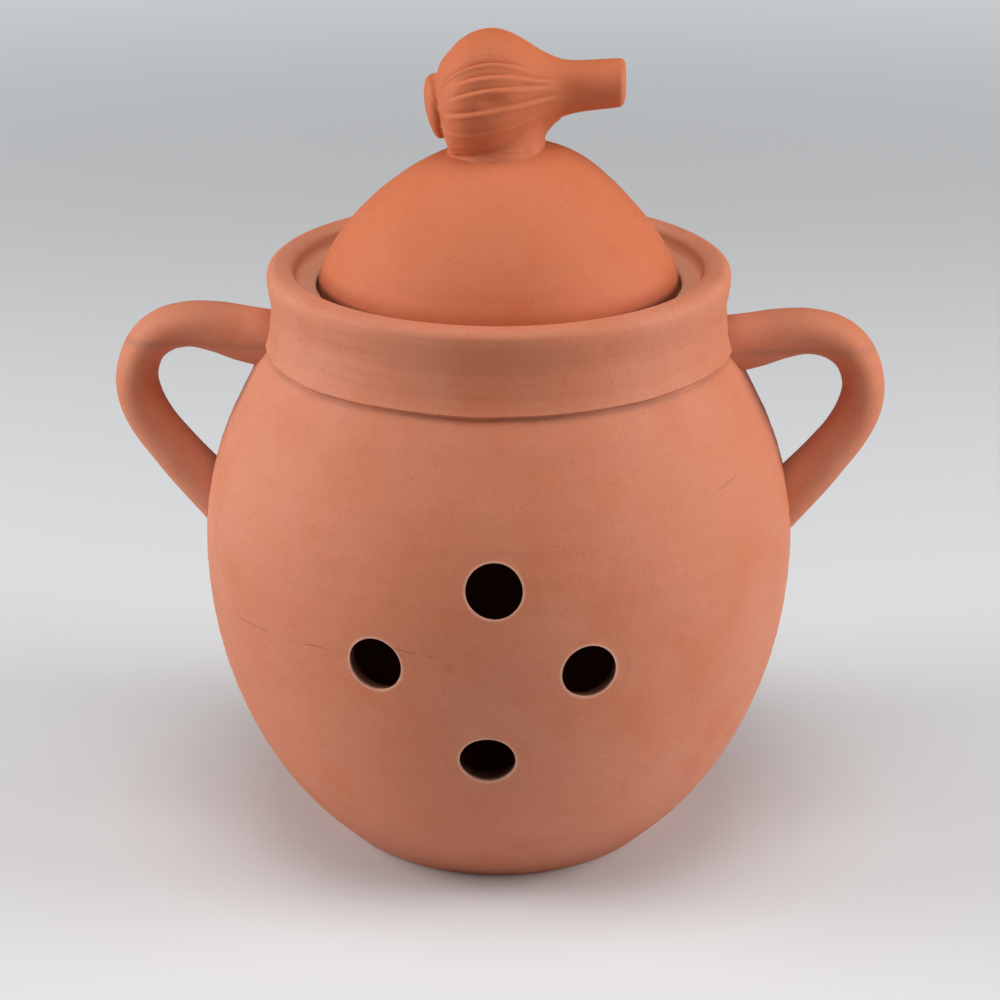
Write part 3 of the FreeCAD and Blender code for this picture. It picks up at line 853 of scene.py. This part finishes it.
# each scratch is a narrow stretch beside a sloping line that shakes a little, broken where
# the clay isn't worn
def paintScratches(clay, across, deep, height):
    patches = clay.between(clay.noise(*marks["wornNoise"]), *marks["wornPatches"])
    worn = clay.both(patches, clay.within(deep, marks["scratchFront"]))
    shake = clay.scaled(clay.noise(*marks["shakeNoise"]), marks["scratchShake"] * mm)
    end = marks["scratchEnd"]
    for slope, level, first, last in marks["scratches"]:
        bend = clay.sum(clay.scaled(across, slope), shake)
        line = clay.maths("ABSOLUTE", clay.sum(clay.maths("SUBTRACT", height, bend), -level * mm))
        hair = clay.both(clay.within(line, marks["scratchSpan"]), worn)
        hair = clay.both(hair, clay.within(across, (first, first + end)))
        hair = clay.both(hair, clay.within(across, (last, last - end)))
        clay.paint(clay.scaled(hair, marks["scratchShow"]), marks["scratch"])


# the pot's marks and its painted light: the vents with painted shade in their bores, painted shade in
# the crease, the scratches, the ledge painted paler as painted light, and a smudge at the end of one
# scratch
def potClay():
    clay = ClayMaterial("potClay", clayLook)
    across, deep, height = clay.axes()
    front, nearFront = clay.within(deep, marks["front"]), clay.within(deep, marks["nearFront"])
    for compass, level in vents["places"]:
        paintVent(clay, front, nearFront, compass, level)
    # painted shade: a darker band in the crease under the collar, broken into patches
    band = clay.both(clay.within(height, marks["creaseShadeBelow"]), clay.within(height, marks["creaseShadeAbove"]))
    patches = clay.between(clay.noise(*marks["creaseShadeNoise"]), *marks["creaseShadePatches"])
    paintedShade = clay.scaled(patches, marks["creaseShadeShow"])
    clay.paint(clay.both(band, paintedShade), marks["creaseShade"])
    paintScratches(clay, across, deep, height)
    fromAxis, _ = clay.besideLine((0, 0, 0), (0, 0, 0))
    # painted light: the ledge round the lid is painted paler, standing in for the light it catches
    high = clay.within(height, marks["ledgeHeight"])
    outer = clay.both(clay.within(fromAxis, marks["ledgeInside"]), high)
    ledge = clay.both(outer, clay.within(fromAxis, marks["ledgeOutside"]))
    clay.paint(clay.scaled(ledge, marks["ledgeShow"]), marks["paintedLitLedge"])
    smudgePlace = tuple(value * mm for value in marks["smudgePlace"])
    fromSmudge, _ = clay.besideLine(smudgePlace, (math.radians(90), 0, 0))
    smudge = clay.both(clay.within(fromSmudge, marks["smudgeSpan"]), front)
    clay.paint(clay.scaled(smudge, marks["smudgeShow"]), marks["smudge"])
    return clay.finish()


# the lid's painted shade: a darker band over the foot of the dome, where it sinks behind the pot's
# lip, and a dark line at its edge for the shaded gap under it
def lidClay():
    clay = ClayMaterial("lidClay", lidLook)
    fromAxis, height = clay.besideLine((0, 0, 0), (0, 0, 0))
    skirt = clay.within(fromAxis, marks["edgeRadius"])
    edge = clay.both(skirt, clay.within(height, marks["edgeHeight"]))
    # painted shade: the foot of the dome is darkened where it goes down behind the lip
    footShade = clay.both(clay.within(height, marks["lidFootShadeSpan"]), edge)
    clay.paint(clay.scaled(footShade, marks["lidFootShadeShow"]), marks["lidFootShade"])
    # painted shade: a near-black line at the dome's edge for the shaded gap between lid and ledge
    paintedShade = clay.both(clay.within(height, marks["lidGapShadeSpan"]), edge)
    clay.paint(clay.scaled(paintedShade, marks["lidGapShadeShow"]), marks["lidGapShade"])
    return clay.finish()


potMaterial = potClay()
lidMaterial = lidClay()
print("clay mixed")
makePot(potMaterial)
makeEar("earLeft", "handle_left", -1, 0.4, potMaterial)
makeEar("earRight", "handle_right", 1, 2.1, potMaterial)
makeLid(lidMaterial)
makeKnob(lidMaterial)


# the studio: a pale floor in a pale room; lamps are soft boxes with their name, place in
# metres, width, height and watts, and each looks at the middle of the pot
studio = {
    "floorHalf": 6.0,
    "floorColour": (0.68, 0.69, 0.7),
    "backgroundColour": (0.6, 0.62, 0.64),
    "roomColour": (0.92, 0.95, 1.0),
    "roomStrength": 0.1,
    "floorFade": (0.3, 1.1),
    "lampAim": (0.0, 0.0, 0.09),
    "lamps": [
        ("leftBox", (-0.85, -0.08, 0.4), 0.45, 0.7, 6.9),
        ("rightBox", (0.85, -0.08, 0.4), 0.45, 0.7, 6.9),
        ("topBox", (0.0, -0.2, 1.0), 0.6, 0.6, 4.9),
        ("frontFill", (0.1, -1.3, 0.5), 0.8, 0.6, 0.2),
    ],
}


# a flat square; seen from the camera it turns, with the distance, into the room's colour,
# so that no horizon shows, and its light on the pot stays that of the plain floor
def makeFloor():
    half = studio["floorHalf"]
    corners = [(-half, -half, 0), (half, -half, 0), (half, half, 0), (-half, half, 0)]
    mesh = bpy.data.meshes.new("floor")
    mesh.from_pydata(corners, [], [(0, 1, 2, 3)])
    floor = bpy.data.objects.new("floor", mesh)
    bpy.context.scene.collection.objects.link(floor)
    material = bpy.data.materials.new("floorPaper")
    material.use_nodes = True
    shader = material.node_tree.nodes["Principled BSDF"]
    shader.inputs["Base Color"].default_value = (*studio["floorColour"], 1)
    shader.inputs["Roughness"].default_value = 0.95
    nodes, links = material.node_tree.nodes, material.node_tree.links
    glow = nodes.new("ShaderNodeEmission")
    glow.inputs["Color"].default_value = (*studio["backgroundColour"], 1)
    place = nodes.new("ShaderNodeTexCoord")
    distance = nodes.new("ShaderNodeVectorMath")
    distance.operation = "LENGTH"
    links.new(place.outputs["Object"], distance.inputs[0])
    far = nodes.new("ShaderNodeMapRange")
    far.interpolation_type = "SMOOTHSTEP"
    far.inputs["From Min"].default_value, far.inputs["From Max"].default_value = studio["floorFade"]
    links.new(distance.outputs["Value"], far.inputs["Value"])
    path = nodes.new("ShaderNodeLightPath")
    links.new(path.outputs["Is Camera Ray"], far.inputs["To Max"])
    blend = nodes.new("ShaderNodeMixShader")
    links.new(far.outputs["Result"], blend.inputs[0])
    links.new(shader.outputs[0], blend.inputs[1])
    links.new(glow.outputs[0], blend.inputs[2])
    links.new(blend.outputs[0], nodes["Material Output"].inputs["Surface"])
    mesh.materials.append(material)


# an even dim light from all round, and a pale background where the camera looks past the
# floor
def makeRoom():
    world = bpy.data.worlds.new("room")
    bpy.context.scene.world = world
    world.use_nodes = True
    nodes, links = world.node_tree.nodes, world.node_tree.links
    room = nodes["Background"]
    room.inputs["Color"].default_value = (*studio["roomColour"], 1)
    room.inputs["Strength"].default_value = studio["roomStrength"]
    seen = nodes.new("ShaderNodeBackground")
    seen.inputs["Color"].default_value = (*studio["backgroundColour"], 1)
    path = nodes.new("ShaderNodeLightPath")
    choose = nodes.new("ShaderNodeMixShader")
    links.new(path.outputs["Is Camera Ray"], choose.inputs[0])
    links.new(room.outputs[0], choose.inputs[1])
    links.new(seen.outputs[0], choose.inputs[2])
    links.new(choose.outputs[0], nodes["World Output"].inputs[0])


def makeLamp(name, place, width, height, watts):
    light = bpy.data.lights.new(name, "AREA")
    light.shape = "RECTANGLE"
    light.size, light.size_y = width, height
    light.energy = watts
    lamp = bpy.data.objects.new(name, light)
    lamp.location = place
    x, y, z = np.array(studio["lampAim"]) - np.array(place)
    lamp.rotation_euler = (math.atan2(math.hypot(x, y), -z), 0, math.atan2(-x, y))
    bpy.context.scene.collection.objects.link(lamp)


# the camera's distance from the pot's axis and its height, in metres, its turn round the
# pot and its tilt, in degrees, its lens and film in mm, all worked out from the photograph
view = {
    "distance": 0.52386,
    "height": 0.2844,
    "compass": 2.2,
    "tilt": 21.98,
    "lens": 93.0,
    "film": 36,
    "shift": 0.0015,
    "nearest": 0.01,
}


def makeCamera():
    data = bpy.data.cameras.new("camera")
    data.sensor_width = view["film"]
    data.lens = view["lens"]
    data.shift_x = view["shift"]
    data.clip_start = view["nearest"]
    camera = bpy.data.objects.new("camera", data)
    turn, distance = math.radians(view["compass"]), view["distance"]
    camera.location = (distance * math.sin(turn), -distance * math.cos(turn), view["height"])
    camera.rotation_euler = (math.radians(90 - view["tilt"]), 0, turn)
    bpy.context.scene.collection.objects.link(camera)
    bpy.context.scene.camera = camera


makeFloor()
makeRoom()
for lamp in studio["lamps"]:
    makeLamp(*lamp)
makeCamera()
print("studio ready")
bpy.context.scene.view_settings.view_transform = "Standard"
